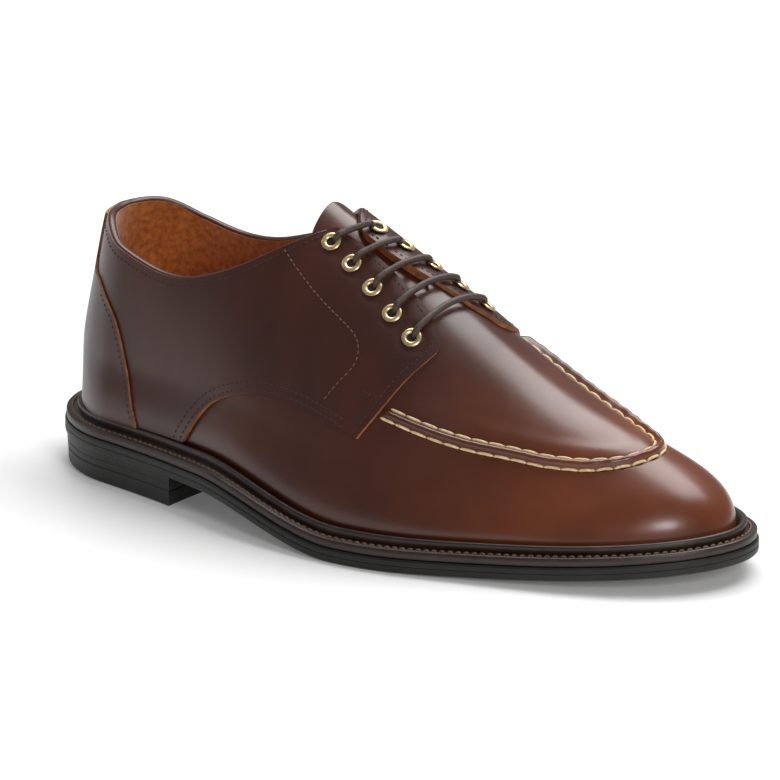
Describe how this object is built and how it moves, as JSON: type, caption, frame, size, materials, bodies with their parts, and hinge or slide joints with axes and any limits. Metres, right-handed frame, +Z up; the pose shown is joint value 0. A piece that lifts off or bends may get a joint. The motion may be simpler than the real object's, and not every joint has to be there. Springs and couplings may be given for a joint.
{
  "type": "apron toe derby shoe",
  "caption": "Right apron toe derby shoe with open lacing, storm welt and studded rubber sole.",
  "frame": {"origin": "centre of the bounding box's base, on the floor under the shoe", "axes": "+X from heel to toe, +Y towards the inner (medial) side of this right shoe, +Z up"},
  "size_m": [0.301, 0.1172, 0.112],
  "materials": {
    "upper": "smooth pull-up leather",
    "quarter_lateral": "smooth dark leather",
    "quarter_medial": "smooth dark leather",
    "heel_counter": "smooth dark leather",
    "tongue": "smooth leather",
    "insole": "tan leather",
    "welt": "dark storm welt",
    "outsole": "studded rubber",
    "heel_base": "matt rubber",
    "heel_top_piece": "studded rubber",
    "eyelet_lateral_1": "polished",
    "eyelet_medial_1": "polished",
    "lace_bar_1": "waxed round lace",
    "eyelet_lateral_2": "polished",
    "eyelet_medial_2": "polished",
    "lace_bar_2": "waxed round lace",
    "eyelet_lateral_3": "polished",
    "eyelet_medial_3": "polished",
    "lace_bar_3": "waxed round lace",
    "eyelet_lateral_4": "polished",
    "eyelet_medial_4": "polished",
    "lace_bar_4": "waxed round lace",
    "eyelet_lateral_5": "polished",
    "eyelet_medial_5": "polished",
    "lace_bar_5": "waxed round lace"
  },
  "bodies": {
    "root": {"upper": "upper", "quarter_lateral": "quarter_lateral", "quarter_medial": "quarter_medial", "heel_counter": "heel_counter", "tongue": "tongue", "insole": "insole", "welt": "welt", "outsole": "outsole", "heel_base": "heel_base", "heel_top_piece": "heel_top_piece", "eyelet_lateral_1": "eyelet_lateral_1", "eyelet_medial_1": "eyelet_medial_1", "lace_bar_1": "lace_bar_1", "eyelet_lateral_2": "eyelet_lateral_2", "eyelet_medial_2": "eyelet_medial_2", "lace_bar_2": "lace_bar_2", "eyelet_lateral_3": "eyelet_lateral_3", "eyelet_medial_3": "eyelet_medial_3", "lace_bar_3": "lace_bar_3", "eyelet_lateral_4": "eyelet_lateral_4", "eyelet_medial_4": "eyelet_medial_4", "lace_bar_4": "lace_bar_4", "eyelet_lateral_5": "eyelet_lateral_5", "eyelet_medial_5": "eyelet_medial_5", "lace_bar_5": "lace_bar_5"}
  },
  "joints": []
}
